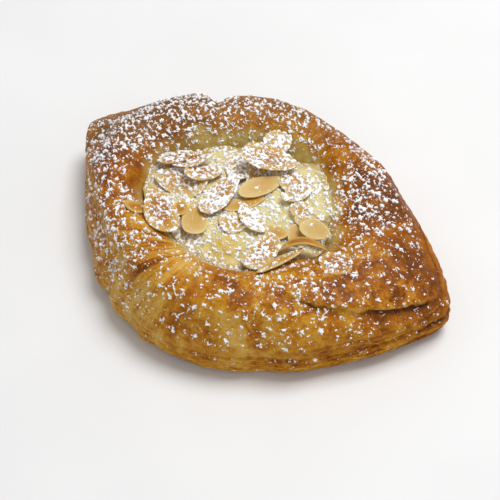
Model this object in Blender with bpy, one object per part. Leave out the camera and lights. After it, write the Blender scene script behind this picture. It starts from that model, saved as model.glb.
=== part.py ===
"""An almond Danish: an eye-shaped piece of puff pastry with a raised rim, its hollow filled
with almond paste and strewn with flaked almonds.

X runs from the left point to the right point, +Y towards the side where the two flaps of
dough meet, Z up. The pastry stands on Z = 0. Lengths are in millimetres until a vertex is
placed, where MM turns them into Blender's metres.
"""
import itertools
from math import pi

import bmesh
import bpy
import numpy as np
from mathutils import Matrix, Vector, noise
from mathutils.bvhtree import BVHTree

MM = 0.001

# The pastry's outline and hollow, seen from above
LENGTH = 142.3
FRONT_BULGE = 57.2           # from the line between the two points to the front side
BACK_BULGE = 43.8            # and to the back side, which bows out less
FRONT_POWER = 2.09           # 2 gives a parabola, more gives a fuller side
BACK_POWER = 2.0
BACK_LEAN = 0.04             # how far the back side's widest place leans to the left
LEFT_POINT_ROUNDING = 2.2
RIGHT_POINT_ROUNDING = 5.0
WELL_CENTRE = (-3.5, 3.5)
WELL_HALF_LENGTH = 33.5
WELL_HALF_WIDTH = 27.0

# Heights
CREST = 28.6                 # top of the rim at mid-side
CREST_DROP_AT_POINTS = 1.6
LEFT_CORNER = 16.8           # top edge of the left point, and of the right one
RIGHT_CORNER = 14.0
WELL_FLOOR = 9.5
PASTE_EDGE = 18.6            # where the paste meets the wall of the hollow
PASTE_CROWN = 2.2            # how much higher the paste stands in the middle
FIT_GAP = 0.6                # left between the paste and the pastry

# Almonds
FLAKE_THICKNESS = 0.95
FLAKE_SIDES = 14
FLAKE_TAPER = 0.18           # how much one end is narrower than the other
LONG_FLAKE = 15.0            # a longer flake has more rings, to bend in
PRESS = 0.55                 # how far a flake sinks into what it lies on
LEAN_CLEARANCE = 0.9         # height over the other node at which a flake leans against it
NEAREST = 0.42               # and the least distance between a flake and the other node
LIFT_STEP = 0.1              # a flake that is too near is lifted by this until it is clear
MOST_TILT = 12.0             # degrees that a flake leans with the ground under it
MERGE = 0.004                # corners nearer than this become one after fusing
SHORTEST_EDGE = 0.002

AROUND = 104                 # faces round the pastry
PASTE_AROUND = 64
PASTE_RINGS = 20


# ---------------------------------------------------------------- small helpers

def smooth(value, low, high):
    """0 below low, 1 above high, an S-curve between."""
    share = np.clip((np.asarray(value, float) - low) / (high - low), 0.0, 1.0)
    return share * share * (3.0 - 2.0 * share)


def bump(distance, spread):
    return np.exp(-(distance / spread) ** 2)


def mix(first, second, share):
    return first + (second - first) * share


def round_distance(angle, centre):
    """Signed difference of two angles in degrees, the short way round."""
    return (angle - centre + 180.0) % 360.0 - 180.0


def along_and_off(x, y, start, end):
    """Share of the way from start to end, and signed distance to the left of that line."""
    way = np.subtract(end, start)
    length = np.hypot(*way)
    unit = way / length
    dx, dy = x - start[0], y - start[1]
    return (dx * unit[0] + dy * unit[1]) / length, dy * unit[0] - dx * unit[1]


def lumps(points, size, seed):
    """Smooth noise of about -1 to 1 whose lumps are size across."""
    shift = Vector((seed * 17.3, seed * 5.1, seed * 9.7))
    return np.array([noise.noise(Vector(p) / size + shift) for p in points])


def new_object(name, mesh_builder, material=None):
    mesh = bpy.data.meshes.new(name)
    mesh_builder.to_mesh(mesh)
    mesh_builder.free()
    mesh.shade_smooth()
    thing = bpy.data.objects.new(name, mesh)
    bpy.context.collection.objects.link(thing)
    if material:
        mesh.materials.append(material)
    return thing


def new_material(name, colour, roughness):
    material = bpy.data.materials.new(name)
    material.use_nodes = True
    shader = material.node_tree.nodes["Principled BSDF"]
    shader.inputs["Base Color"].default_value = (*colour, 1.0)
    shader.inputs["Roughness"].default_value = roughness
    shader.inputs["Metallic"].default_value = 0.0
    return material


def ball_grid(segments, rings):
    """A UV sphere with, for each vertex, its column and its ring, counted from the bottom
    pole up to the top pole."""
    ball = bmesh.new()
    bmesh.ops.create_uvsphere(ball, u_segments=segments, v_segments=rings, radius=1.0)
    places = np.array([v.co for v in ball.verts])
    turn = np.arctan2(places[:, 1], places[:, 0]) / (2 * pi)
    column = np.round(turn * segments).astype(int) % segments
    ring = np.round((np.arcsin(np.clip(places[:, 2], -1, 1)) / pi + 0.5) * rings).astype(int)
    return ball, column, ring


def place(builder, points):
    for vertex, point in zip(builder.verts, points):
        vertex.co = Vector(point) * MM


def normals_of(builder):
    builder.normal_update()
    return np.array([v.normal for v in builder.verts])


# ---------------------------------------------------------------- the pastry

def outline(turn):
    """Plan outline at a share of its length, from the right point anticlockwise."""
    angle = np.linspace(0.0, 2 * pi, 1441)
    half_length = LENGTH / 2
    along = np.cos(angle)
    back = np.sin(angle) >= 0
    x = half_length * along
    rounding = mix(LEFT_POINT_ROUNDING, RIGHT_POINT_ROUNDING, smooth(along, -1, 1))
    bulge = np.where(back, BACK_BULGE, FRONT_BULGE)
    fullness = np.sqrt(bulge ** 2 + rounding ** 2) - rounding
    leant = np.abs(along + np.where(back, BACK_LEAN, 0.0) * (1 - along ** 2))
    half = fullness * (1.0 - leant ** np.where(back, BACK_POWER, FRONT_POWER))
    y = np.where(back, 1, -1) * np.sqrt((half + rounding) ** 2 - rounding ** 2)
    y += (FRONT_BULGE - BACK_BULGE) / 2
    degrees = np.degrees(np.arctan2(y, x)) % 360.0
    swell = 0.5 * bump(round_distance(degrees, 108), 14)       # the flap at the back
    swell -= 1.3 * bump(round_distance(degrees, 136), 6)       # where the two flaps meet
    swell -= 1.0 * bump(round_distance(degrees, 198), 13)
    swell -= 0.9 * bump(round_distance(degrees, 218), 5)       # the dents in the front side
    swell -= 0.9 * bump(round_distance(degrees, 240), 5)
    swell -= 1.1 * bump(round_distance(degrees, 308), 6)
    swell += 0.7 * bump(round_distance(degrees, 52), 8)
    x = x + swell * np.cos(np.radians(degrees))
    y = y + swell * np.sin(np.radians(degrees))
    length = np.concatenate([[0.0], np.cumsum(np.hypot(np.diff(x), np.diff(y)))])
    share = length / length[-1]
    return np.interp(turn, share, x), np.interp(turn, share, y)


def rib(turn):
    """Each rib runs over the rim from the outline to the hollow's ellipse."""
    x, y = outline(turn)
    angle = np.arctan2(2 * y / (FRONT_BULGE + BACK_BULGE), 2 * x / LENGTH)
    degrees = np.degrees(angle) % 360.0
    reach = 1.0 - 0.12 * bump(round_distance(degrees, 332), 16)   # the rim comes in here
    reach -= 0.15 * bump(round_distance(degrees, 14), 20)
    reach += 0.06 * bump(round_distance(degrees, 60), 14)
    reach -= 0.10 * bump(round_distance(degrees, 128), 24)
    reach += 0.10 * bump(round_distance(degrees, 210), 15)
    reach -= 0.05 * bump(round_distance(degrees, 245), 15)
    inner_x = WELL_CENTRE[0] + WELL_HALF_LENGTH * reach * np.cos(angle)
    inner_y = WELL_CENTRE[1] + WELL_HALF_WIDTH * reach * np.sin(angle)
    width = np.hypot(inner_x - x, inner_y - y)
    return x, y, (inner_x - x) / width, (inner_y - y) / width, width


def crest_height(turn, x):
    """The rim rises and falls a little on its way round."""
    point = smooth(np.abs(x), 0.45 * LENGTH / 2, LENGTH / 2)
    wave = 0.5 * np.sin(2 * pi * (3 * turn + 0.12)) + 0.35 * np.sin(2 * pi * (7 * turn + 0.4))
    return CREST - CREST_DROP_AT_POINTS * point + wave


def section(turn):
    """The rim's cross-section: for each knot its inset from the outline and its height, from
    the edge of the base over the crest and down to the floor of the hollow."""
    x, _, _, _, width = rib(turn)
    crest = crest_height(turn, x)
    corner = mix(LEFT_CORNER, RIGHT_CORNER, smooth(x, -20, 20))
    point = smooth(np.abs(x), 0.74 * LENGTH / 2, 0.99 * LENGTH / 2)
    gentle = bump(round_distance(360 * turn, 205), 38)            # the slope down to the paste
    level = np.ones_like(x)
    knots = [
        (5.5 * level, 0.0 * level),
        (1.6 * level, 2.0 * level),
        (mix(0.0, 0.4, point), 7.0 * level),
        (mix(0.9, 0.3, point), mix(14.0, corner - 3.5, point)),
        (mix(3.8, 1.6, point), mix(20.3, corner, point)),
        (0.27 * width, crest - mix(2.4, 5.0, point)),
        (0.47 * width, crest - mix(0.0, 0.7, point)),
        (0.66 * width, crest - 0.6 - 1.0 * gentle),
        (0.83 * width, crest - 3.4 - 2.0 * gentle),
        (0.95 * width, crest - 7.8 - 0.8 * gentle),
        (1.02 * width, crest - 13.0),
        (width + 6.0, (WELL_FLOOR + 0.5) * level),
    ]
    return np.array(knots)


# Faces along each span between one knot and the next, along the base and the hollow's floor
SPAN_RINGS = (1, 3, 3, 3, 4, 4, 4, 4, 3, 2, 2)
BASE_RINGS = 2
FLOOR_RINGS = 2


def curve_through(knots, rings_per_span):
    """Catmull-Rom curve through the knots, with even steps within each span."""
    before = 2 * knots[0] - knots[1]
    before[1] = 0.0
    after = 2 * knots[-1] - knots[-2]
    track = np.concatenate([before[None], knots, after[None]])
    steps = []
    for span, rings in enumerate(rings_per_span):
        a, b, c, d = track[span:span + 4]
        for t in np.arange(rings) / rings:
            steps.append(0.5 * (2 * b + (c - a) * t + (2 * a - 5 * b + 4 * c - d) * t ** 2
                                + (3 * b - a - 3 * c + d) * t ** 3))
    steps.append(knots[-1])
    return np.array(steps)


def relief(points, inset, width, outline_x, outline_y):
    """Height of the crust's folds and steps above its smooth form, at each point."""
    x, y, z = points.T
    height = 0.8 * lumps(points, 24.0, 1) + 0.5 * lumps(points, 10.0, 2)

    # the crease where the two flaps meet, at the back left
    along, off = along_and_off(x, y, (-42, 43), (-27, 24))
    fade = 1 - smooth(along, 0.5, 1.1)
    height += (0.3 * bump(off + 6.0, 5.0) - 2.4 * bump(off, 3.2)) * fade

    # folds of stretched dough at the front left
    for start, end in (((7, -26), (-13, -50)), ((-1, -28), (-28, -44)), ((-11, -26), (-38, -36))):
        along, off = along_and_off(x, y, start, end)
        ends = smooth(along, 0.0, 0.3) * (1 - smooth(along, 0.8, 1.1))
        height += (0.7 * bump(off - 3.4, 3.4) - 0.9 * bump(off, 3.0)) * ends

    # the flap's edge at the right front, which stands over the roll below it
    front = 1 - smooth(outline_y, 2, 10)
    flap = front * smooth(outline_x, 20, 42) * (1 - smooth(outline_x, 67, 71))
    past_edge = inset - mix(15.0, 5.5, smooth(outline_x, 28, 58))
    softness = mix(2.0, 1.0, smooth(outline_x, 30, 56))
    top_of_flap = smooth(past_edge / softness, -2.0, 1.4) * bump(np.maximum(past_edge, 0), 10.0)
    height += flap * (2.0 * top_of_flap - 0.7 * bump(past_edge / softness + 2.4, 1.8))

    # the layers that show on the sides as low steps
    right = smooth(outline_x, 10, 45)
    height -= mix(0.35, 0.9, right) * bump(z - 10.5, 1.8) * (inset < 5)
    height -= 0.3 * bump(z - 5.0, 1.2) * (inset < 5)

    above_base = smooth(z, 1.5, 5.0)
    above_paste = 1.0 - smooth(inset / width, 0.76, 0.92)
    return height * above_base * above_paste


def pastry_builder():
    """The shell: a ball grid whose bottom pole is the base's middle and whose top pole is the
    middle of the hollow's floor."""
    builder, column, ring = ball_grid(AROUND, BASE_RINGS + sum(SPAN_RINGS) + FLOOR_RINGS)
    turn = np.arange(AROUND) / AROUND
    x, y, in_x, in_y, width = (part[column] for part in rib(turn))
    track = curve_through(section(turn), SPAN_RINGS)
    last = len(track) - 1
    step = ring - BASE_RINGS
    inset, z = track[np.clip(step, 0, last), :, column].T
    inwards = np.maximum(-step / BASE_RINGS, 0) + np.maximum((step - last) / FLOOR_RINGS, 0)
    z = z - 0.5 * inwards * (step > 0)
    points = np.stack([mix(x + in_x * inset, WELL_CENTRE[0], inwards),
                       mix(y + in_y * inset, WELL_CENTRE[1], inwards), z], 1)
    place(builder, points)
    raised = relief(points, inset, width, x, y)
    place(builder, points + normals_of(builder) * raised[:, None])
    return builder


# ---------------------------------------------------------------- the paste

def paste_top(x, y):
    """Height of the paste's lumpy surface."""
    across, up = (x - WELL_CENTRE[0]) / WELL_HALF_LENGTH, (y - WELL_CENTRE[1]) / WELL_HALF_WIDTH
    reach = np.hypot(across, up)
    height = PASTE_EDGE + PASTE_CROWN * (1 - smooth(reach, 0.3, 1.0))
    height += 2.2 * bump(np.hypot(x - 2, y + 15), 6.5)          # the yellow lump at the front
    height += 1.4 * bump(np.hypot(x + 8, y + 12), 7.0)
    height += 1.2 * bump(np.hypot(x + 9, y - 16), 8.0)
    for heap_x, heap_y, rise in ((-3, 22, 3.6), (16, -11, 3.2), (-23, -14, 3.6)):
        height += rise * bump(np.hypot(x - heap_x, y - heap_y), 6.0)   # under leaning flakes
    slab = smooth(np.cos(np.arctan2(up, across) - 0.75), 0.72, 0.95) * smooth(reach, 0.3, 0.8)
    height += 3.6 * slab                                        # smeared up the right wall
    flat = np.stack([x, y, 0 * x], 1)
    return height + 0.8 * lumps(flat, 8.0, 5) * (1 - smooth(reach, 0.6, 0.95))


def paste_builder():
    """The paste: it follows the hollow's floor and wall with a gap, and is lumpy on top."""
    builder, column, ring = ball_grid(PASTE_AROUND, PASTE_RINGS)
    turn = np.arange(PASTE_AROUND) / PASTE_AROUND
    x, y, in_x, in_y, width = rib(turn)
    track = curve_through(section(turn), SPAN_RINGS)
    wall = track[sum(SPAN_RINGS[:6]):]

    def wall_inset(z):
        return np.array([np.interp(-z[c], -wall[:, 1, c], wall[:, 0, c]) for c in range(PASTE_AROUND)])

    edge_z = np.full(PASTE_AROUND, PASTE_EDGE)
    for _ in range(3):
        inset = wall_inset(edge_z) + FIT_GAP
        edge_z = paste_top(x + in_x * inset, y + in_y * inset)
    low_z = np.full(PASTE_AROUND, WELL_FLOOR + 1.6)
    side = [(wall_inset(z) + FIT_GAP * slant, z) for z, slant in
            ((low_z, 1.8), (mix(low_z, edge_z, 0.45), 1.3), (mix(low_z, edge_z, 0.8), 1.3),
             (edge_z, 1.1), (edge_z + 0.5, 3.2))]
    under = 2                                                   # rings below the side's rings
    widest = under + len(side) - 1
    points = np.zeros((len(column), 3))
    for index, (c, r) in enumerate(zip(column, ring)):
        inset, z = side[min(max(r - under, 0), len(side) - 1)]
        if r < under:
            inwards = 1 - r / under
        else:
            inwards = max(r - widest, 0) / (PASTE_RINGS - widest)
        px = mix(x[c] + in_x[c] * inset[c], WELL_CENTRE[0], inwards)
        py = mix(y[c] + in_y[c] * inset[c], WELL_CENTRE[1], inwards)
        points[index] = px, py, z[c]
    top = ring > widest - 1
    points[top, 2] = paste_top(points[top, 0], points[top, 1])
    place(builder, points)
    return builder


# ---------------------------------------------------------------- the almonds

def flake_builder(length, width, seed, bend=0.8, cup=0.3, snap=1.0):
    """A slice of almond lying flat at the origin: an oval that narrows to one end. bend lifts
    or drops its ends, cup its edges, and snap below 1 breaks its narrow end off."""
    rings = 5 if length > LONG_FLAKE else 3
    builder, column, ring = ball_grid(FLAKE_SIDES, rings)
    phases = np.random.default_rng(seed).uniform(0, 2 * pi, 3)
    angle = 2 * pi * column / FLAKE_SIDES
    wobble = 1 + sum(0.022 * np.sin((n + 2) * angle + p) for n, p in enumerate(phases))
    from_pole = np.minimum(ring, rings - ring)
    reach = np.sqrt(from_pole / ((rings - 1) / 2))
    x = np.minimum(np.cos(angle) * wobble, snap) * reach * length / 2
    y = np.sin(angle) * (1 - FLAKE_TAPER * np.cos(angle)) * wobble * reach * width / 2
    z = np.where(ring > rings / 2, 0.5, -0.5) * FLAKE_THICKNESS * (1 - 0.25 * reach ** 4)
    z += bend * (2 * x / length) ** 2 + cup * (2 * y / width) ** 2
    place(builder, np.stack([x, y, z], 1))
    bmesh.ops.triangulate(builder, faces=builder.faces)
    return builder


def tree_of(thing):
    return BVHTree.FromObject(thing, bpy.context.evaluated_depsgraph_get())


def height_at(tree, x, y):
    hit = tree.ray_cast(Vector((x, y, 60.0)) * MM, Vector((0, 0, -1)))[0]
    return hit.z / MM if hit else -1.0


def resting_plane(points):
    """Centre height and normal of a flat plate that comes to rest on the points around it:
    of all triples that hold its centre between them, the one that carries it highest."""
    best = None
    for a, b, c in itertools.combinations(points, 3):
        area = (b[0] - a[0]) * (c[1] - a[1]) - (b[1] - a[1]) * (c[0] - a[0])
        if abs(area) < 1.0:
            continue
        u = (b[0] * c[1] - b[1] * c[0]) / area
        v = (c[0] * a[1] - c[1] * a[0]) / area
        w = 1.0 - u - v
        if min(u, v, w) < 0:
            continue
        z = u * a[2] + v * b[2] + w * c[2]
        if best is None or z > best[0]:
            normal = (Vector(b) - Vector(a)).cross(Vector(c) - Vector(a)).normalized()
            best = z, normal if normal.z > 0 else -normal
    return best


def settle(flake, skin, base_trees, clear_trees):
    """Where a flake comes to rest, as its world matrix in millimetres. It sinks a little into
    what it lies on, leans with the ground round it and keeps clear of the other node. skin
    holds points all over the flake."""
    x0, y0 = flake["at"]
    heading = Matrix.Rotation(np.radians(flake["heading"]), 4, "Z")

    def lies_on(x, y):
        return max(height_at(tree, x, y) for tree in base_trees) - PRESS

    def ground(x, y):
        return max(lies_on(x, y), max(height_at(tree, x, y) for tree in clear_trees) + LEAN_CLEARANCE)

    def distance(tree, spot, z):
        return tree.find_nearest((spot + Vector((0, 0, z))) * MM)[3] / MM

    samples = []
    for reach in (0.45, 0.95):
        for step in range(10):
            angle = 2 * pi * step / 10
            offset = heading @ Vector((np.cos(angle) * reach * flake["length"] / 2,
                                       np.sin(angle) * reach * flake["width"] / 2, 0))
            samples.append((offset.x, offset.y, ground(x0 + offset.x, y0 + offset.y)))
    height, normal = resting_plane(samples)
    most = np.radians(flake.get("most_tilt", MOST_TILT))
    if normal.z < np.cos(most):
        normal = Vector((normal.x, normal.y, 0)).normalized() * np.sin(most)
        normal.z = np.cos(most)
    tilt = Vector((0, 0, 1)).rotation_difference(normal).to_matrix().to_4x4()
    lean = Matrix.Rotation(np.radians(flake.get("roll", 0)), 4, "X")
    lean = Matrix.Rotation(np.radians(flake.get("pitch", 0)), 4, "Y") @ lean
    pose = tilt @ heading @ lean

    # press its underside into what it lies on, then lift it clear of the rest
    spots = [pose @ Vector(point) + Vector((x0, y0, 0)) for point in skin]
    z = max(lies_on(spot.x, spot.y) - spot.z for spot in spots)
    while min(distance(tree, spot, z) for spot in spots for tree in clear_trees) < NEAREST:
        z += LIFT_STEP
    return Matrix.Translation((x0, y0, z)) @ pose


# Every flake: where its middle lies, which way its narrow end points, and its size. The order
# is the order in which they fell.
FLAKES_ON_PASTE = {
    "b": dict(at=(-23.6, -4.5), heading=195, length=18.5, width=10.0),
    "e": dict(at=(-19.3, 4.6), heading=44, length=15.0, width=8.5),
    "d": dict(at=(-25.6, 6.4), heading=228, length=14.0, width=8.5, roll=8),
    "c": dict(at=(-30.4, 4.4), heading=40, length=14.0, width=8.0, roll=-12),
    "g": dict(at=(-12.6, -11.6), heading=122, length=16.5, width=8.4, bend=0.3),
    "h": dict(at=(-19.4, -10.2), heading=80, length=8.0, width=5.0),
    "a": dict(at=(-22.2, -15.7), heading=149, length=19.4, width=10.8, most_tilt=24),
    "k": dict(at=(-11.6, 12.4), heading=158, length=15.5, width=10.0),
    "l": dict(at=(-5.9, 13.8), heading=-50, length=12.5, width=7.0),
    "m_low": dict(at=(-2.5, 1.2), heading=55, length=15.0, width=5.6, snap=0.7),
    "m": dict(at=(0.6, 7.7), heading=37, length=16.0, width=8.0, snap=0.9),
    "f": dict(at=(-9.2, -1.3), heading=91, length=18.8, width=9.8),
    "n": dict(at=(5.0, 19.3), heading=170, length=17.0, width=9.5),
    "j_back": dict(at=(-5.4, 26.4), heading=66, length=13.5, width=9.5, most_tilt=30),
    "j": dict(at=(-3.5, 18.7), heading=23, length=18.6, width=10.8),
    "o": dict(at=(9.8, 13.8), heading=231, length=11.0, width=6.4),
    "x": dict(at=(16.2, 7.8), heading=2, length=10.0, width=8.0),
    "u": dict(at=(12.6, -3.3), heading=170, length=12.0, width=8.0),
    "v": dict(at=(19.4, -1.6), heading=-69, length=12.0, width=7.5),
    "w": dict(at=(19.4, 4.6), heading=187, length=10.5, width=7.4),
    "w_right": dict(at=(23.4, 3.2), heading=6, length=12.0, width=8.0),
    "q": dict(at=(0.5, -7.8), heading=41, length=12.0, width=8.5),
    "p": dict(at=(3.2, -2.4), heading=152, length=14.5, width=7.6),
    "r": dict(at=(13.0, -11.6), heading=93, length=16.5, width=10.0),
    "s": dict(at=(18.9, -14.4), heading=68, length=18.0, width=8.0, bend=0.2, roll=-52, most_tilt=1),
    "t": dict(at=(22.6, -6.6), heading=29, length=16.5, width=6.4, bend=-3.5, roll=-35, pitch=-6),
}
FLAKES_ON_PASTRY = {
    "i": dict(at=(-30.0, -22.0), heading=60, length=9.0, width=6.0, snap=0.55, most_tilt=30),
    "y": dict(at=(36.3, -8.6), heading=31, length=13.5, width=9.5, snap=0.8, cup=0.1, bend=0.2),
}


def scatter(flakes, base, clear_of, first_seed):
    """Makes each flake where it settles and returns them all in one collection."""
    pile = bpy.data.collections.new(base.name + "_flakes")
    bpy.context.scene.collection.children.link(pile)
    base_trees = [tree_of(base)]
    clear_trees = [tree_of(thing) for thing in clear_of]
    for number, (name, flake) in enumerate(flakes.items()):
        shape = {key: flake[key] for key in ("bend", "cup", "snap") if key in flake}
        builder = flake_builder(flake["length"], flake["width"], first_seed + number, **shape)
        skin = [v.co / MM for v in builder.verts]
        skin += [f.calc_center_median() / MM for f in builder.faces]
        pose = settle(flake, skin, base_trees, clear_trees)
        pose.translation *= MM
        bmesh.ops.transform(builder, matrix=pose, verts=builder.verts)
        thing = new_object("flake_" + name, builder)
        bpy.context.collection.objects.unlink(thing)
        pile.objects.link(thing)
        base_trees.append(tree_of(thing))
    return pile


def trim_fins(builder):
    """Removes each flat fin that fusing leaves: two triangles back to back on three corners."""
    by_corners = {}
    for face in builder.faces:
        by_corners.setdefault(frozenset(face.verts), []).append(face)
    fins = [face for faces in by_corners.values() if len(faces) > 1 for face in faces]
    bmesh.ops.delete(builder, geom=fins, context="FACES")


def fuse(base, pile):
    """Joins the flakes to what they lie on and removes the loose ones."""
    union = base.modifiers.new("flakes", "BOOLEAN")
    union.operation = "UNION"
    union.solver = "EXACT"
    union.operand_type = "COLLECTION"
    union.collection = pile
    fused = bpy.data.meshes.new_from_object(base.evaluated_get(bpy.context.evaluated_depsgraph_get()))
    base.modifiers.clear()
    base.data = fused
    for thing in list(pile.objects):
        bpy.data.objects.remove(thing)
    bpy.data.collections.remove(pile)
    builder = bmesh.new()
    builder.from_mesh(fused)
    bmesh.ops.remove_doubles(builder, verts=builder.verts, dist=MERGE * MM)
    bmesh.ops.dissolve_degenerate(builder, edges=builder.edges, dist=SHORTEST_EDGE * MM)
    bmesh.ops.triangulate(builder, faces=builder.faces)
    trim_fins(builder)
    builder.to_mesh(fused)
    builder.free()
    fused.shade_smooth()


# ---------------------------------------------------------------- build

def centre_over_origin(things):
    """Moves the meshes so that the middle of their common box is over the origin."""
    corners = np.array([v.co for thing in things for v in thing.data.vertices])
    middle = (corners.min(0) + corners.max(0)) / 2
    for thing in things:
        thing.data.transform(Matrix.Translation((-middle[0], -middle[1], 0.0)))


def main():
    for thing in list(bpy.data.objects):
        bpy.data.objects.remove(thing)
    crust = new_material("baked_puff_pastry", (0.50, 0.24, 0.06), 0.45)
    paste = new_material("almond_paste", (0.66, 0.56, 0.28), 0.6)
    shell = new_object("pastry_shell", pastry_builder(), crust)
    filling = new_object("almond_filling", paste_builder(), paste)
    bpy.context.view_layer.update()
    on_pastry = scatter(FLAKES_ON_PASTRY, shell, [filling], first_seed=60)
    on_paste = scatter(FLAKES_ON_PASTE, filling, [shell, *on_pastry.objects], first_seed=10)
    fuse(filling, on_paste)
    fuse(shell, on_pastry)
    centre_over_origin([shell, filling])


main()
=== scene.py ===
import itertools
from math import cos, pi, radians, sin
from types import SimpleNamespace

import bmesh
import bpy
import numpy as np
from mathutils import Matrix, Vector, noise
from mathutils.bvhtree import BVHTree


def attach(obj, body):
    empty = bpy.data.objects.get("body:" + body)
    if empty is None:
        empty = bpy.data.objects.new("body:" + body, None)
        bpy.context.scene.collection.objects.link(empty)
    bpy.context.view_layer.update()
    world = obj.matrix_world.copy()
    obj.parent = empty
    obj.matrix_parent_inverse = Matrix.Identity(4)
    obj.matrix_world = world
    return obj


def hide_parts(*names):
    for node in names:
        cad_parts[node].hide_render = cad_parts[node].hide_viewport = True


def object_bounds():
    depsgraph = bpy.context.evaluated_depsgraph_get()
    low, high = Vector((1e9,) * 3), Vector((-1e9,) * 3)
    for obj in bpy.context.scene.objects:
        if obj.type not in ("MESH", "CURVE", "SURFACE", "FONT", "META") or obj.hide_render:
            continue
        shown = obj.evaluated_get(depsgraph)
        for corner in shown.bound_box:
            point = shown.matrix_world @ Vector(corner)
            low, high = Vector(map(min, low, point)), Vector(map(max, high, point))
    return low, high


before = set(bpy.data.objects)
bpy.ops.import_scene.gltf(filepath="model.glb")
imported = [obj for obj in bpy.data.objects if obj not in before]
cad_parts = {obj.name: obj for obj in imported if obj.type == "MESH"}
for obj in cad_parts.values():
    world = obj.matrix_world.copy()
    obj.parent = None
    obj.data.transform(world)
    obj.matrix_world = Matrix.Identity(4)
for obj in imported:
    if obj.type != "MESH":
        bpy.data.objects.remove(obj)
cadLow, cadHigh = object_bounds()
mm = 0.001  # sizes below are in millimetres, X to the right point, +Y to the back, Z up


def smooth(value, low, high):
    share = np.clip((np.asarray(value, float) - low) / (high - low), 0.0, 1.0)
    return share * share * (3.0 - 2.0 * share)


def bump(distance, spread):
    return np.exp(-(np.asarray(distance, float) / spread) ** 2)


def mix(first, second, share):
    return first + (second - first) * share


def roundDistance(angle, centre):
    return (angle - centre + 180.0) % 360.0 - 180.0


def addRound(values, degrees, swells):
    # values with swells and dips round the pastry added: where in degrees, spread, amount
    for centre, spread, amount in swells:
        values = values + amount * bump(roundDistance(degrees, centre), spread)
    return values


def addSpots(values, points, spots):
    # values with round swells and dips added: x, y, spread, amount
    for x, y, spread, amount in spots:
        values = values + amount * bump(np.hypot(points[:, 0] - x, points[:, 1] - y), spread)
    return values


def alongAndOff(x, y, start, end):
    # share of the way from start to end, and distance to the left of that line
    way = np.subtract(end, start)
    length = np.hypot(*way)
    unit = way / length
    dx, dy = x - start[0], y - start[1]
    return (dx * unit[0] + dy * unit[1]) / length, dy * unit[0] - dx * unit[1]


def lumps(points, size, seed):
    # smooth noise of about -1 to 1 whose lumps are size across
    shift = Vector((seed * 17.3, seed * 5.1, seed * 9.7))
    return np.array([noise.noise(Vector(p) / size + shift) for p in points])


def blisters(points, size, seed):
    # domes of 0 to 1, one in each cell
    shift = Vector((seed * 7.7, seed * 3.9, seed * 11.3))
    near = np.array([noise.voronoi(Vector(p) / size + shift)[0][0] for p in points])
    return 1.0 - smooth(near, 0.1, 0.65)


def ballGrid(segments, rings):
    # a ball whose vertices know their column and their ring, counted from the bottom pole
    ball = bmesh.new()
    bmesh.ops.create_uvsphere(ball, u_segments=segments, v_segments=rings, radius=1.0)

    def gridPlaces(places):
        turn = np.arctan2(places[:, 1], places[:, 0]) / (2 * pi)
        lift = np.arcsin(np.clip(places[:, 2] / np.linalg.norm(places, axis=1), -1, 1)) / pi + 0.5
        return turn % 1.0, lift

    turn, lift = gridPlaces(np.array([f.calc_center_median() for f in ball.faces]))
    order = np.floor(lift * rings) * segments + np.floor(turn * segments)
    for face, index in zip(ball.faces, np.argsort(np.argsort(order))):
        face.index = index
    ball.faces.sort()  # the operator's own order changes from run to run
    turn, lift = gridPlaces(np.array([v.co for v in ball.verts]))
    return ball, np.round(turn * segments).astype(int) % segments, np.round(lift * rings).astype(int)


def meshFrom(builder, name):
    mesh = bpy.data.meshes.new(name)
    builder.to_mesh(mesh)
    builder.free()
    return mesh


def setPlaces(mesh, points):
    mesh.vertices.foreach_set("co", (np.asarray(points) * mm).astype(np.float32).ravel())
    mesh.update()


def getPlaces(mesh):
    places = np.zeros(len(mesh.vertices) * 3, np.float32)
    mesh.vertices.foreach_get("co", places)
    return places.reshape(-1, 3).astype(float) / mm


def getNormals(mesh):
    normals = np.zeros(len(mesh.vertices) * 3, np.float32)
    mesh.vertex_normals.foreach_get("vector", normals)
    return normals.reshape(-1, 3).astype(float)


def paint(mesh, name, values):
    values = np.asarray(values, np.float32)
    if values.ndim == 2:
        layer = mesh.attributes.new(name, "FLOAT_VECTOR", "POINT")
        layer.data.foreach_set("vector", values.ravel())
    else:
        layer = mesh.attributes.new(name, "FLOAT", "POINT")
        layer.data.foreach_set("value", values)


def addPiece(name, mesh, material):
    mesh.shade_smooth()
    piece = bpy.data.objects.new(name, mesh)
    bpy.context.collection.objects.link(piece)
    mesh.materials.clear()
    mesh.materials.append(material)
    return piece


def addNode(tree, kind, inputs=None, **settings):
    node = tree.nodes.new(kind)
    for key, value in settings.items():
        setattr(node, key, value)
    for key, value in (inputs or {}).items():
        if isinstance(value, bpy.types.NodeSocket):
            tree.links.new(value, node.inputs[key])
        else:
            node.inputs[key].default_value = value
    return node


def maths(tree, operation, first, second):
    return addNode(tree, "ShaderNodeMath", {0: first, 1: second}, operation=operation).outputs[0]


def add(tree, first, *others):
    for other in others:
        first = maths(tree, "ADD", first, other)
    return first


def minus(tree, first, second):
    return maths(tree, "SUBTRACT", first, second)


def times(tree, first, second):
    return maths(tree, "MULTIPLY", first, second)


def vectors(tree, operation, inputs, output=0):
    return addNode(tree, "ShaderNodeVectorMath", inputs, operation=operation).outputs[output]


def swing(tree, value, share):
    # a texture's 0 to 1 as minus to plus half the share
    return times(tree, minus(tree, value, 0.5), share)


def blendColours(tree, share, first, second):
    node = addNode(tree, "ShaderNodeMix", {0: share}, data_type="RGBA")
    for key, colour in ((6, first), (7, second)):
        if isinstance(colour, bpy.types.NodeSocket):
            tree.links.new(colour, node.inputs[key])
        else:
            node.inputs[key].default_value = (*colour, 1.0)
    return node.outputs[2]


def attribute(tree, name, output="Fac"):
    return addNode(tree, "ShaderNodeAttribute", attribute_name=name).outputs[output]


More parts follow.
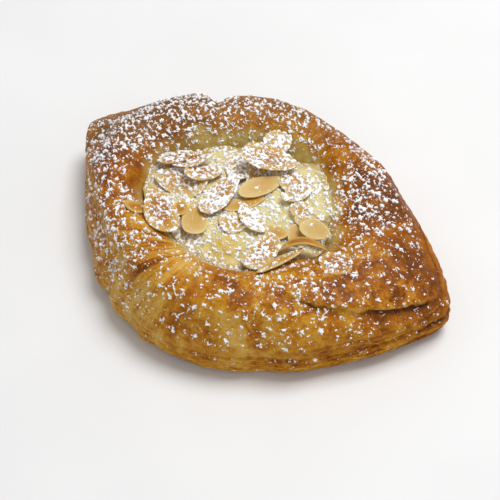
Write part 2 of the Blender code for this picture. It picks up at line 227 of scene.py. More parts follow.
def objectPlace(tree):
    return addNode(tree, "ShaderNodeTexCoord").outputs["Object"]


def perMetre(sizeMm):
    # the scale of a texture whose features are this large
    return 1000.0 / sizeMm


def noiseOf(tree, place, sizeMm, detail=2.0, roughness=0.5, distortion=0.0):
    return addNode(tree, "ShaderNodeTexNoise",
                   {"Vector": place, "Scale": perMetre(sizeMm), "Detail": detail, "Roughness": roughness,
                    "Distortion": distortion}).outputs["Fac"]


def cellsOf(tree, place, sizeMm, **settings):
    return addNode(tree, "ShaderNodeTexVoronoi", {"Vector": place, "Scale": perMetre(sizeMm)}, **settings)


def warped(tree, place, sizeMm, shiftMm, over=None):
    # the place moved a little by noise over the object, so that patterns on it aren't regular
    texture = addNode(tree, "ShaderNodeTexNoise",
                      {"Vector": over or place, "Scale": perMetre(sizeMm), "Detail": 2.0})
    middled = vectors(tree, "SUBTRACT", {0: texture.outputs["Color"], 1: (0.5, 0.5, 0.5)})
    moved = vectors(tree, "SCALE", {0: middled, "Scale": 2.0 * shiftMm * mm})
    return vectors(tree, "ADD", {0: place, 1: moved})


def ramp(tree, value, stops):
    node = addNode(tree, "ShaderNodeValToRGB", {"Fac": value})
    elements = node.color_ramp.elements
    while len(elements) < len(stops):
        elements.new(0.5)
    for element, (place, colour) in zip(elements, stops):
        element.position = place
        element.color = (*colour, 1.0)
    return node.outputs["Color"]


def gradeOf(tree, value, low, high, start=0.0, end=1.0, **settings):
    # start at low and end at high, even between
    return addNode(tree, "ShaderNodeMapRange",
                   {"Value": value, "From Min": low, "From Max": high, "To Min": start, "To Max": end},
                   **settings).outputs["Result"]


def tone(red, green, blue):
    # a colour given as it looks on a screen, 0 to 255
    shares = np.array([red, green, blue]) / 255.0
    linear = np.where(shares <= 0.04045, shares / 12.92, ((shares + 0.055) / 1.055) ** 2.4)
    return tuple(float(v) for v in linear)


def newMaterial(name, **constants):
    material = bpy.data.materials.new(name)
    material.use_nodes = True
    tree = material.node_tree
    shader = tree.nodes["Principled BSDF"]
    for key, value in constants.items():
        shader.inputs[key.replace("_", " ")].default_value = value
    return material, tree, shader


# how the icing sugar fell: the sizes are in millimetres, the rest are shares
sugarFall = dict(
    island=1.2, drift=7.0, driftShare=0.2, need=0.728, reach=0.22,
    clump=2.3, clumpReach=1.3, clumpNeed=0.08, clumpChance=0.5, clumpMost=0.34, clumpRagged=1.5,
    fine=0.6, fineRagged=0.9, warp=1.1, warpShift=0.45,
)


def sugarOver(tree, place, amount):
    # more than 0 where sugar lies: in clumps, and in islands that are wider where more of it fell
    fall = sugarFall
    island = noiseOf(tree, place, fall["island"], 2.0, 0.55, 0.3)
    drift = swing(tree, noiseOf(tree, place, fall["drift"], 1.0), fall["driftShare"])
    islands = minus(tree, add(tree, island, drift, times(tree, amount, fall["reach"])), fall["need"])
    cells = cellsOf(tree, warped(tree, place, fall["warp"], fall["warpShift"]), fall["clump"])
    ragged = add(tree, swing(tree, island, fall["clumpRagged"]),
                 swing(tree, noiseOf(tree, place, fall["fine"], 1.0), fall["fineRagged"]))
    chance = vectors(tree, "DOT_PRODUCT", {0: cells.outputs["Color"], 1: (1.0, 0.0, 0.0)}, "Value")
    radius = minus(tree, times(tree, amount, fall["clumpReach"]), fall["clumpNeed"])
    radius = minus(tree, radius, times(tree, chance, fall["clumpChance"]))
    radius = maths(tree, "MINIMUM", radius, fall["clumpMost"])
    clumps = minus(tree, add(tree, radius, ragged), cells.outputs["Distance"])
    return maths(tree, "MAXIMUM", islands, clumps)


# the dusting that lies flat: under the raised patches, with a faint veil round them
sugarFilm = dict(white=(0.9, 0.9, 0.91), roughness=0.85, patch=0.9, veil=0.08, veilGrain=0.5)


def makeSugarFilm():
    group = bpy.data.node_groups.new("sugarFilm", "ShaderNodeTree")
    for name, kind, way in (("Colour", "Color", "INPUT"), ("Roughness", "Float", "INPUT"),
                            ("Amount", "Float", "INPUT"), ("Colour", "Color", "OUTPUT"),
                            ("Roughness", "Float", "OUTPUT"), ("Mask", "Float", "OUTPUT")):
        group.interface.new_socket(name, in_out=way, socket_type="NodeSocket" + kind)
    given = addNode(group, "NodeGroupInput").outputs
    place = objectPlace(group)
    over = sugarOver(group, place, given["Amount"])
    patch = gradeOf(group, over, -0.008, 0.012)
    veil = times(group, gradeOf(group, over, -0.12, 0.02), noiseOf(group, place, sugarFilm["veilGrain"]))
    mask = maths(group, "MAXIMUM", times(group, veil, sugarFilm["veil"]),
                 times(group, patch, sugarFilm["patch"]))
    colour = blendColours(group, mask, given["Colour"], sugarFilm["white"])
    rough = addNode(group, "ShaderNodeMix", {0: mask, 2: given["Roughness"], 3: sugarFilm["roughness"]})
    addNode(group, "NodeGroupOutput", {"Colour": colour, "Roughness": rough.outputs[0], "Mask": patch})
    return group


def addSurface(tree, shader, film, colour, roughness, relief, sugarRelief, bumpMm):
    # the surface's own colour, roughness and relief, with sugar over them
    dusted = addNode(tree, "ShaderNodeGroup",
                     {"Colour": colour, "Roughness": roughness, "Amount": attribute(tree, "sugar")},
                     node_tree=film)
    tree.links.new(dusted.outputs["Colour"], shader.inputs["Base Color"])
    tree.links.new(dusted.outputs["Roughness"], shader.inputs["Roughness"])
    addBump(tree, shader, add(tree, relief, times(tree, dusted.outputs["Mask"], sugarRelief)), bumpMm)


def addBump(tree, shader, height, distanceMm):
    node = addNode(tree, "ShaderNodeBump", {"Height": height, "Distance": distanceMm * mm, "Strength": 1.0})
    tree.links.new(node.outputs["Normal"], shader.inputs["Normal"])


crustLook = dict(
    pale=tone(204, 168, 90),         # dough that the oven hardly reached
    straw=tone(205, 158, 68),
    golden=tone(187, 131, 30),
    orange=tone(166, 99, 12),
    brown=tone(130, 70, 9),
    dark=tone(100, 52, 8),
    olive=tone(214, 192, 118),       # moist dough on the wall of the hollow
    # darker olive: for the blotches on the moist dough, and as painted shade towards the foot of the wall
    oliveShade=tone(184, 157, 82),
    crackShadow=tone(64, 28, 8),            # painted shadow in the cracks
    # the size of each pattern, and how much it adds to the bake
    broadSize=12.0, broad=0.5, blotchSize=4.2, blotch=0.78, speckSize=0.9, speck=0.55,
    streakSize=2.8, streak=2.1, sheetSize=1.1, sheets=1.4, blisterSize=4.4, blister=-0.16,
    flakeSize=3.4, flaked=-0.15, gritSize=0.35,
    roughness=(0.3, 0.5), sideRoughness=0.35, bump=0.5,
    relief=dict(speck=0.35, blister=0.5, flaked=0.2, sheets=1.2, grit=0.15),
)


def crustPatterns(tree):
    look = crustLook
    place = objectPlace(tree)
    skin, side = attribute(tree, "cells"), attribute(tree, "side")
    uneven = warped(tree, place, sizeMm=3.0, shiftMm=1.4)
    ragged = warped(tree, place, sizeMm=1.5, shiftMm=0.6)
    wavy = warped(tree, attribute(tree, "layers", "Vector"), sizeMm=5.0, shiftMm=0.9, over=place)
    cells = cellsOf(tree, uneven, look["blisterSize"], feature="SMOOTH_F1")
    flakes = noiseOf(tree, ragged, look["flakeSize"], 2.0, 0.6)
    sheet = noiseOf(tree, wavy, look["sheetSize"], 3.0, 0.6)
    return dict(
        side=side,
        fibrous=attribute(tree, "fibrous"),
        broad=noiseOf(tree, place, look["broadSize"], 3.0, 0.55),
        blotch=noiseOf(tree, place, look["blotchSize"], 4.0, 0.6, 0.8),
        speck=noiseOf(tree, place, look["speckSize"], 3.0, 0.65),
        grit=noiseOf(tree, place, look["gritSize"]),
        streak=noiseOf(tree, attribute(tree, "stretch", "Vector"), look["streakSize"], 5.0, 0.62, 0.3),
        sheets=times(tree, minus(tree, sheet, 0.5), side),
        blister=times(tree, gradeOf(tree, cells.outputs["Distance"], 0.55, 0.2), skin),
        flaked=times(tree, gradeOf(tree, flakes, 0.52, 0.56), add(tree, times(tree, skin, 0.8), 0.2)),
    )


def bakeAndShadeOf(tree, pattern):
    # how far the crust is baked: pale dough at 0, dark brown at 1, with painted shade mixed in
    look = crustLook
    fibrous = pattern["fibrous"]
    blotches = times(tree, swing(tree, pattern["blotch"], look["blotch"]),
                     add(tree, times(tree, minus(tree, 1.0, fibrous), 0.5), 0.5))
    streaks = times(tree, swing(tree, pattern["streak"], look["streak"]),
                    add(tree, times(tree, fibrous, 0.8), 0.2))
    streaks = times(tree, streaks, minus(tree, 1.0, times(tree, pattern["side"], 0.6)))
    return add(tree, attribute(tree, "bakeAndShade"), swing(tree, pattern["broad"], look["broad"]), blotches, streaks,
               swing(tree, pattern["speck"], look["speck"]), times(tree, pattern["blister"], look["blister"]),
               times(tree, pattern["flaked"], look["flaked"]), times(tree, pattern["sheets"], look["sheets"]))


def crustColour(tree, bakeAndShade, blotch):
    look = crustLook
    browned = ramp(tree, bakeAndShade, [(0.02, look["pale"]), (0.22, look["straw"]), (0.43, look["golden"]),
                                (0.62, look["orange"]), (0.82, look["brown"]), (1.0, look["dark"])])
    # the olive darkens with the blotches, and towards the foot of the wall as painted shade
    blotchAndWallShade = minus(tree, blotch, times(tree, attribute(tree, "wallFootShade"), 0.1))
    moist = blendColours(tree, gradeOf(tree, blotchAndWallShade, 0.3, 0.62), look["oliveShade"], look["olive"])
    colour = blendColours(tree, attribute(tree, "moist"), browned, moist)
    # painted shadow in the crack under the flap
    return blendColours(tree, attribute(tree, "crackShadow"), colour, look["crackShadow"])


def makeCrustMaterial(film):
    look = crustLook
    material, tree, shader = newMaterial("bakedCrust", Specular_IOR_Level=0.12)
    pattern = crustPatterns(tree)
    colour = crustColour(tree, bakeAndShadeOf(tree, pattern), pattern["blotch"])
    rough = gradeOf(tree, pattern["blotch"], 0.3, 0.7, *look["roughness"])
    rough = add(tree, rough, times(tree, pattern["side"], look["sideRoughness"]))
    relief = times(tree, pattern["streak"], add(tree, times(tree, pattern["fibrous"], 0.6), 0.3))
    for name, share in look["relief"].items():
        relief = add(tree, relief, times(tree, pattern[name], share))
    addSurface(tree, shader, film, colour, rough, relief, sugarRelief=0.2, bumpMm=look["bump"])
    return material


pasteLook = dict(cream=tone(222, 206, 138), shade=tone(202, 184, 114), butter=tone(204, 170, 64),
                 baked=tone(186, 158, 92), broadSize=6.0, grainSize=1.1, bump=0.28)


def makePasteMaterial(film):
    look = pasteLook
    material, tree, shader = newMaterial("almondPaste", Specular_IOR_Level=0.4, Subsurface_Weight=0.2,
                                         Subsurface_Scale=0.0015)
    place = objectPlace(tree)
    broad = noiseOf(tree, place, look["broadSize"], 3.0, 0.6)
    grain = noiseOf(tree, place, look["grainSize"], 4.0, 0.65)
    cloudy = add(tree, times(tree, broad, 0.55), times(tree, grain, 0.45))
    colour = ramp(tree, cloudy, [(0.40, look["shade"]), (0.54, look["cream"])])
    colour = blendColours(tree, attribute(tree, "butter"), colour, look["butter"])
    edge = add(tree, attribute(tree, "edge"), minus(tree, broad, 0.5))
    colour = blendColours(tree, gradeOf(tree, edge, 0.3, 1.0), colour, look["baked"])
    rough = gradeOf(tree, grain, 0.9, 0.1)
    addSurface(tree, shader, film, colour, rough, grain, sugarRelief=0.4, bumpMm=look["bump"])
    return material


almondLook = dict(white=tone(214, 196, 138), tan=tone(201, 164, 92), toasted=tone(190, 138, 42),
                  dark=tone(162, 100, 20), rim=tone(194, 148, 66), paleRim=tone(224, 198, 134),
                  cloudSize=4.0, cloud=0.35, fibreSize=1.0, fibre=0.22, bump=0.22)


def makeAlmondMaterial(film):
    look = almondLook
    material, tree, shader = newMaterial("flakedAlmond", Specular_IOR_Level=0.4, Subsurface_Weight=0.15,
                                         Subsurface_Scale=0.001)
    cloud = noiseOf(tree, objectPlace(tree), look["cloudSize"])
    fibre = noiseOf(tree, attribute(tree, "grain", "Vector"), look["fibreSize"], 3.0, 0.6)
    toast = add(tree, attribute(tree, "toast"), swing(tree, cloud, look["cloud"]),
                swing(tree, fibre, look["fibre"]))
    colour = ramp(tree, toast, [(0.1, look["white"]), (0.45, look["tan"]), (0.75, look["toasted"]),
                                (1.0, look["dark"])])
    rim = blendColours(tree, gradeOf(tree, toast, 0.35, 0.6), look["paleRim"], look["rim"])
    colour = blendColours(tree, attribute(tree, "rim"), colour, rim)
    rough = gradeOf(tree, fibre, 1.1, 0.0)
    addSurface(tree, shader, film, colour, rough, fibre, sugarRelief=0.5, bumpMm=look["bump"])
    return material


def makeSugarMaterial():
    material, tree, shader = newMaterial("icingSugar", Specular_IOR_Level=0.2)
    fine = noiseOf(tree, objectPlace(tree), 0.3, 3.0, 0.7)
    colour = ramp(tree, fine, [(0.3, (0.9, 0.9, 0.91)), (0.7, (0.96, 0.96, 0.96))])
    tree.links.new(colour, shader.inputs["Base Color"])
    tree.links.new(gradeOf(tree, fine, -2.0, 1.5), shader.inputs["Roughness"])
    addBump(tree, shader, fine, 0.08)
    return material


def makeFloorMaterial():
    material, tree, shader = newMaterial("paleFloor", Roughness=0.7)
    soft = noiseOf(tree, objectPlace(tree), 60.0)
    colour = ramp(tree, soft, [(0.4, (0.78, 0.78, 0.78)), (0.6, (0.8, 0.8, 0.8))])
    tree.links.new(colour, shader.inputs["Base Color"])
    return material


pastry = dict(
    length=142.3, frontBulge=57.2, backBulge=43.8, frontPower=2.09, backPower=2.0, backLean=0.04,
    leftRounding=2.2, rightRounding=5.0, wellCentre=(-3.5, 3.5), wellHalfLength=33.5, wellHalfWidth=27.0,
    crest=28.6, crestDrop=1.6, leftCorner=16.8, rightCorner=14.0, wellFloor=9.5,
    around=560, spanRings=(4, 14, 14, 14, 20, 20, 22, 22, 18, 8, 4), baseRings=6, floorRings=3,
    # round the pastry from the right point: where in degrees, spread, amount
    outlineSwells=(
        (108, 14, 0.5),                                                  # the flap at the back
        (136, 6, -1.3),                                                  # where the two flaps meet
        (198, 13, -1.0), (218, 5, -0.9), (240, 5, -0.9), (308, 6, -1.1),  # dents in the front side
        (52, 8, 0.7),
    ),
    wellSwells=((332, 16, -0.12), (14, 20, -0.15), (38, 22, -0.12), (322, 14, -0.13), (68, 16, -0.05),
                (102, 24, -0.06), (152, 18, -0.08), (128, 24, -0.10), (212, 14, 0.04), (245, 15, -0.05)),
    crease=((-42, 43), (-27, 24)),     # between the two flaps, from the outline inwards
    stretchFolds=(((7, -26), (-13, -50)), ((-1, -28), (-28, -44)), ((-11, -26), (-38, -36))),
    # the front flap's edge: its inset at the left and at the right point, and the x where each holds
    flapInset=(15.0, 5.5), flapRun=(28, 66),
)


def outline(turn):
    # plan outline at a share of its length, from the right point anticlockwise
    p = pastry
    angle = np.linspace(0.0, 2 * pi, 1441)
    along = np.cos(angle)
    back = np.sin(angle) >= 0
    x = p["length"] / 2 * along
    rounding = mix(p["leftRounding"], p["rightRounding"], smooth(along, -1, 1))
    bulge = np.where(back, p["backBulge"], p["frontBulge"])
    fullness = np.sqrt(bulge ** 2 + rounding ** 2) - rounding
    leant = np.abs(along + np.where(back, p["backLean"], 0.0) * (1 - along ** 2))
    half = fullness * (1.0 - leant ** np.where(back, p["backPower"], p["frontPower"]))
    y = np.where(back, 1, -1) * np.sqrt((half + rounding) ** 2 - rounding ** 2)
    y += (p["frontBulge"] - p["backBulge"]) / 2
    degrees = np.degrees(np.arctan2(y, x)) % 360.0
    swell = addRound(0.0, degrees, p["outlineSwells"])
    x = x + swell * np.cos(np.radians(degrees))
    y = y + swell * np.sin(np.radians(degrees))
    length = np.concatenate([[0.0], np.cumsum(np.hypot(np.diff(x), np.diff(y)))])
    share = length / length[-1]
    return np.interp(turn, share, x), np.interp(turn, share, y)


def rib(turn):
    # each rib runs over the rim from the outline to the edge of the hollow
    p = pastry
    x, y = outline(turn)
    angle = np.arctan2(2 * y / (p["frontBulge"] + p["backBulge"]), 2 * x / p["length"])
    reach = addRound(1.0, np.degrees(angle) % 360.0, p["wellSwells"])
    innerX = p["wellCentre"][0] + p["wellHalfLength"] * reach * np.cos(angle)
    innerY = p["wellCentre"][1] + p["wellHalfWidth"] * reach * np.sin(angle)
    width = np.hypot(innerX - x, innerY - y)
    return x, y, (innerX - x) / width, (innerY - y) / width, width


def section(turn):
    # the rim's cross-section: inset from the outline and height of each knot
    p = pastry
    x, _, _, _, width = rib(turn)
    wave = 0.5 * np.sin(2 * pi * (3 * turn + 0.12)) + 0.35 * np.sin(2 * pi * (7 * turn + 0.4))
    crest = p["crest"] - p["crestDrop"] * smooth(np.abs(x), 0.45 * p["length"] / 2, p["length"] / 2) + wave
    corner = mix(p["leftCorner"], p["rightCorner"], smooth(x, -20, 20))
    point = smooth(np.abs(x), 0.74 * p["length"] / 2, 0.99 * p["length"] / 2)
    gentle = bump(roundDistance(360 * turn, 205), 38)  # the long slope down to the paste at the front left
    steep = bump(roundDistance(360 * turn, 22), 26)    # the fuller wall at the right
    level = np.ones_like(x)
    return np.array([
        (5.5 * level, 0.0 * level),
        (1.6 * level, 2.0 * level),
        (mix(0.0, 0.4, point), 7.0 * level),
        (mix(0.9, 0.3, point), mix(14.0, corner - 3.5, point)),
        (mix(3.8, 1.6, point), mix(20.3, corner, point)),
        (0.27 * width, crest - mix(2.4, 5.0, point)),
        (0.47 * width, crest - mix(0.0, 0.7, point)),
        (0.66 * width, crest - 0.6 - 1.0 * gentle),
        (0.83 * width, crest - 3.4 - 2.0 * gentle + 0.9 * steep),
        (0.95 * width, crest - 7.8 - 0.8 * gentle + 1.8 * steep),
        (1.02 * width, crest - 13.0),
        (width + 6.0, (p["wellFloor"] + 0.5) * level),
    ])


def curveThrough(knots, spanRings):
    # a smooth curve through the knots, with even steps within each span
    before = 2 * knots[0] - knots[1]
    before[1] = 0.0
    after = 2 * knots[-1] - knots[-2]
    track = np.concatenate([before[None], knots, after[None]])
    steps = []
    for span, rings in enumerate(spanRings):
        a, b, c, d = track[span:span + 4]
        for t in np.arange(rings) / rings:
            steps.append(0.5 * (2 * b + (c - a) * t + (2 * a - 5 * b + 4 * c - d) * t ** 2
                                + (3 * b - a - 3 * c + d) * t ** 3))
    steps.append(knots[-1])
    return np.array(steps)


def ribPlaces(x, y, inX, inY, inset, inwards, z):
    # points this far in from the outline, and then this share of the way to the middle of the hollow
    wellX, wellY = pastry["wellCentre"]
    return np.stack([mix(x + inX * inset, wellX, inwards), mix(y + inY * inset, wellY, inwards), z], 1)


def pastFlapEdge(inset, outlineX):
    # how far behind the front flap's edge a place is
    return inset - mix(*pastry["flapInset"], smooth(outlineX, *pastry["flapRun"]))


def folds(points, inset, width, outlineX, outlineY):
    # the crust's folds and steps, nearly as on the solid
    x, y, z = points.T
    height = 0.8 * lumps(points, 24.0, 1) + 0.5 * lumps(points, 10.0, 2)
    along, off = alongAndOff(x, y, *pastry["crease"])
    height += (0.3 * bump(off + 6.0, 5.0) - 2.4 * bump(off, 3.2)) * (1 - smooth(along, 0.5, 1.1))
    for start, end in pastry["stretchFolds"]:
        along, off = alongAndOff(x, y, start, end)
        ends = smooth(along, 0.0, 0.3) * (1 - smooth(along, 0.8, 1.1))
        height += (0.7 * bump(off - 3.4, 3.4) - 0.9 * bump(off, 3.0)) * ends

    # the front flap stands over the roll below it
    flap = (1 - smooth(outlineY, 2, 10)) * smooth(outlineX, 32, 54) * (1 - smooth(outlineX, 67, 71))
    pastEdge = pastFlapEdge(inset, outlineX)
    softness = mix(2.0, 1.0, smooth(outlineX, 30, 56))
    topOfFlap = smooth(pastEdge / softness, -2.0, 1.4) * bump(np.maximum(pastEdge, 0), 10.0)
    height += flap * (1.7 * topOfFlap - 0.7 * bump(pastEdge / softness + 2.4, 1.8))

    # two low steps round the side, the upper one deeper at the right end
    upperStep = mix(0.35, 0.9, smooth(outlineX, 10, 45))
    height -= upperStep * bump(z - 10.5, 1.8) * (inset < 5)
    height -= 0.3 * bump(z - 5.0, 1.2) * (inset < 5)
    return height * smooth(z, 1.5, 5.0) * (1.0 - smooth(inset / width, 0.76, 0.92))


crust = dict(
    fibre=0.34, blister=0.30, blisterSize=4.2, swell=0.36, wrinkle=0.16, wallFolds=0.2,
    sheetStep=2.1, sheetDepth=0.5,     # the layers of dough seen round the side
    crackDepth=1.1, crackWidth=0.55,   # under the edge of the flap
    tuckInset=4.6,                     # the flap's thin edge along the back of the right end
    # where the crust is browner or paler: x, y, spread, amount
    patches=((-52, 6, 14, 0.06), (-22, 36, 12, 0.06), (-44, 18, 7, 0.06), (36, 26, 12, 0.10),
             (56, 8, 10, 0.04), (5, -48, 3, 0.14), (-18, -41, 7, 0.06), (-20, -33, 8, -0.10),
             (-8, -30, 7, -0.10), (-23, 27, 8, -0.18), (66, 3, 8, 0.10), (63, -5, 6, 0.05),
             (17, 33, 6, -0.16), (46, 12, 5, -0.08), (-12, -50, 5, -0.08), (-8, 31, 8, -0.10),
             (30, -40, 10, -0.06), (-38, 9, 8, -0.14), (-22, -30, 6, 0.06)),
    # bands over the front side: start, end, half their width, amount; streaks in the dough, with painted
    # highlight and shade on its folds
    bands=(((1, -33), (-5, -46), 4.6, -0.26), ((4, -33), (-2, -48), 2.2, 0.08),
           ((11, -36), (16, -42), 2.6, -0.12), ((14, -33), (27, -38), 2.8, 0.30),
           ((18, -42), (27, -41.5), 2.4, -0.32), ((16, -34), (33, -35), 0.9, -0.14),
           ((28, -31), (36, -34), 2.2, -0.12), ((34, -30), (38, -33), 2.0, 0.08),
           ((39, -30), (52, -18), 3.6, -0.18)),
    # where the wall of the hollow is dry: x, y, spread, amount
    dryWall=((-38, 9, 8.0, -0.6),),
    # where more or less sugar fell: x, y, spread, amount
    drifts=((-36.5, -7, 5, -0.9), (17, 33, 7, -0.12), (-29, 24, 6, 0.12), (36, -20, 9, 0.12),
            (-38, -26, 10, 0.24), (-28, -36, 9, 0.26), (-20, -42, 8, 0.20), (-46, 8, 13, 0.16),
            (29, 11, 8, 0.38), (6, 37, 9, -0.09), (-22, -30, 6, -0.12), (32, 21, 6, 0.15),
            (-36, 24, 12, 0.12), (40, 2, 7, 0.14), (18, -24, 5, 0.12), (-62, 0, 9, -0.12),
            (44, 24, 8, -0.10), (59, 14, 9, -0.12), (58, -4, 12, -0.12), (9, -30, 12, -0.05)),
)


def rimPlaces(x, y, z, inset, width):
    # where each vertex is on the rim; x and y are those of the outline beside it
    wellX, wellY = pastry["wellCentre"]
    across = inset / width
    fibrous = bump(roundDistance(np.degrees(np.arctan2(y, x)) % 360.0, 250), 28)  # stretched dough
    angle = np.arctan2(y - wellY, x - wellX) - 0.55 * fibrous * across
    return SimpleNamespace(
        x=x, y=y, z=z, inset=inset, across=across, fibrous=fibrous,
        outer=(1 - smooth(inset, 3.0, 8.0)) * smooth(z, 0.5, 3.0),
        wall=smooth(across, 0.70, 0.86),
        stretch=np.stack([52 * np.cos(angle), 52 * np.sin(angle), 0.14 * inset + 0.14 * z], 1),
        layers=np.stack([7 * np.cos(angle), 7 * np.sin(angle), z + 0.1 * inset], 1),
    )


def layCrust():
    p = pastry
    ball, column, ring = ballGrid(p["around"], p["baseRings"] + sum(p["spanRings"]) + p["floorRings"])
    mesh = meshFrom(ball, "crust")
    turn = np.arange(p["around"]) / p["around"]
    x, y, inX, inY, width = (part[column] for part in rib(turn))
    track = curveThrough(section(turn), p["spanRings"])
    last = len(track) - 1
    step = ring - p["baseRings"]
    inset, z = track[np.clip(step, 0, last), :, column].T
    inwards = np.maximum(-step / p["baseRings"], 0) + np.maximum((step - last) / p["floorRings"], 0)
    z = z - 0.5 * inwards * (step > 0)
    points = ribPlaces(x, y, inX, inY, inset, inwards, z)
    setPlaces(mesh, points)
    points = points + getNormals(mesh) * folds(points, inset, width, x, y)[:, None]
    setPlaces(mesh, points)
    return mesh, points, rimPlaces(x, y, z, inset, width)


def skinRelief(points, rim):
    # fibres, blisters and wrinkles
    c = crust
    fibres = lumps(rim.stretch + 0.06 * points, 3.2, 3) + 0.5 * lumps(rim.stretch + 0.1 * points, 1.2, 4)
    detail = c["fibre"] * fibres * (0.25 + 0.75 * rim.fibrous) * (1 - 0.6 * rim.outer) * (1 - rim.wall)
    domes = blisters(points, c["blisterSize"], 7)
    rough = smooth(lumps(points, 13.0, 6), -0.2, 0.3)
    detail += c["blister"] * domes * rough * (1 - rim.fibrous) * (1 - rim.wall)
    detail += c["swell"] * lumps(points, 6.5, 12) * (1 - 0.7 * rim.wall)
    wrinkles = lumps(points, 1.6, 8) + 0.6 * lumps(rim.layers, 0.9, 11)
    detail += c["wrinkle"] * wrinkles * (0.5 + 1.4 * rim.outer)
    wallFolds = lumps(rim.stretch, 5.0, 13) + 0.5 * lumps(rim.stretch, 2.2, 14)
    return detail + c["wallFolds"] * wallFolds * rim.wall


def sheetRelief(points, rim):
    # thin layers one over the other, each standing out a little over the next
    level = (rim.z + 1.3 * lumps(rim.layers, 5.0, 15) + 0.5 * lumps(points, 5.0, 27)) / crust["sheetStep"]
    ledge = np.abs(level - np.floor(level) - 0.12) / 0.88
    right = smooth(rim.x, 20, 60)
    shown = rim.outer * (1 - smooth(rim.z, mix(8.0, 14.0, right), mix(14.0, 19.0, right)))
    shown = shown * smooth(lumps(rim.layers, 4.0, 16), -0.5, 0.1)
    return crust["sheetDepth"] * (0.5 - ledge) * shown


def flapRelief(points, rim):
    # the crack under the front flap's edge, and the flap's thin edge at the back; both are coloured later,
    # the crack with painted shadow
    flap = (1 - smooth(rim.y, 2, 10)) * smooth(rim.x, 34, 44) * (1 - smooth(rim.x, 69, 71.5))
    pastEdge = pastFlapEdge(rim.inset, rim.x) + 0.8 * lumps(points, 6.0, 17) + 0.4 * lumps(points, 1.8, 18)
    opened = flap * (0.12 + 0.5 * bump(rim.x - 47, 5) + 0.9 * smooth(rim.x, 55, 62))  # most at both ends
    rim.crack = bump(pastEdge + 0.7, crust["crackWidth"]) * opened
    detail = -crust["crackDepth"] * rim.crack + 0.35 * bump(pastEdge - 0.6, 0.7) * opened
    detail += 0.3 * lumps(points, 0.9, 20) * bump(pastEdge - 0.2, 0.9) * opened
    rim.tucked = smooth(rim.y, 3, 7) * smooth(rim.x, 48, 57) * (1 - smooth(rim.x, 70, 71.5))
    rim.pastTuck = rim.inset - crust["tuckInset"] + 0.6 * lumps(points, 5.0, 28)
    return detail + (0.25 * bump(rim.pastTuck - 1.1, 0.9) - 0.5 * bump(rim.pastTuck, 0.5)) * rim.tucked


# how much each of these adds to the bake; the foot and the relief terms add painted shade, not browning
crustBakeAndShade = dict(least=0.42, top=0.16, crest=0.08, back=0.15, right=0.16, left=0.13, uneven=0.06, side=0.05,
                 lowLeft=-0.10, footShade=0.4, fibres=-0.07, raised=-0.25, tuck=0.2, tuckedUnder=-0.16)


def bakeAndShadeAt(points, rim, top, detail):
    b = crustBakeAndShade
    bakeAndShade = b["least"] + b["top"] * top + b["crest"] * bump(rim.across - 0.42, 0.26) * top
    bakeAndShade += b["back"] * smooth(rim.y - 0.3 * rim.x, 0, 26) * smooth(rim.z, 12, 22)
    bakeAndShade += b["right"] * smooth(rim.x, 25, 60) + b["left"] * smooth(-rim.x, 30, 55)
    bakeAndShade += b["uneven"] * lumps(points, 15.0, 9)
    bakeAndShade += b["side"] * rim.outer + b["lowLeft"] * rim.outer * smooth(-rim.x - rim.y, 30, 60)
    # painted shade: darker along the lowest 2 mm, where the pastry meets the floor
    bakeAndShade += b["footShade"] * (1 - smooth(rim.z, 0.3, 2.4))
    # painted shade: paler where the fine relief rises, darker where it sinks
    bakeAndShade += b["fibres"] * rim.fibrous + b["raised"] * detail
    bakeAndShade = addSpots(bakeAndShade, points, crust["patches"])
    tuck = b["tuck"] * bump(rim.pastTuck - 0.5, 1.0) + b["tuckedUnder"] * bump(rim.pastTuck + 1.8, 1.4)
    bakeAndShade += tuck * rim.tucked
    wobble = 1.3 * lumps(points, 5.0, 26)
    # lighter and darker bands: the dough's streaks, partly painted highlight and shade on the folds
    for start, end, half, amount in crust["bands"]:
        along, off = alongAndOff(points[:, 0], points[:, 1], start, end)
        length = smooth(along, -0.4, 0.1) * (1 - smooth(along, 0.9, 1.4))
        bakeAndShade += amount * bump(off + wobble, half) * length * smooth(rim.z, 9, 16)
    return bakeAndShade


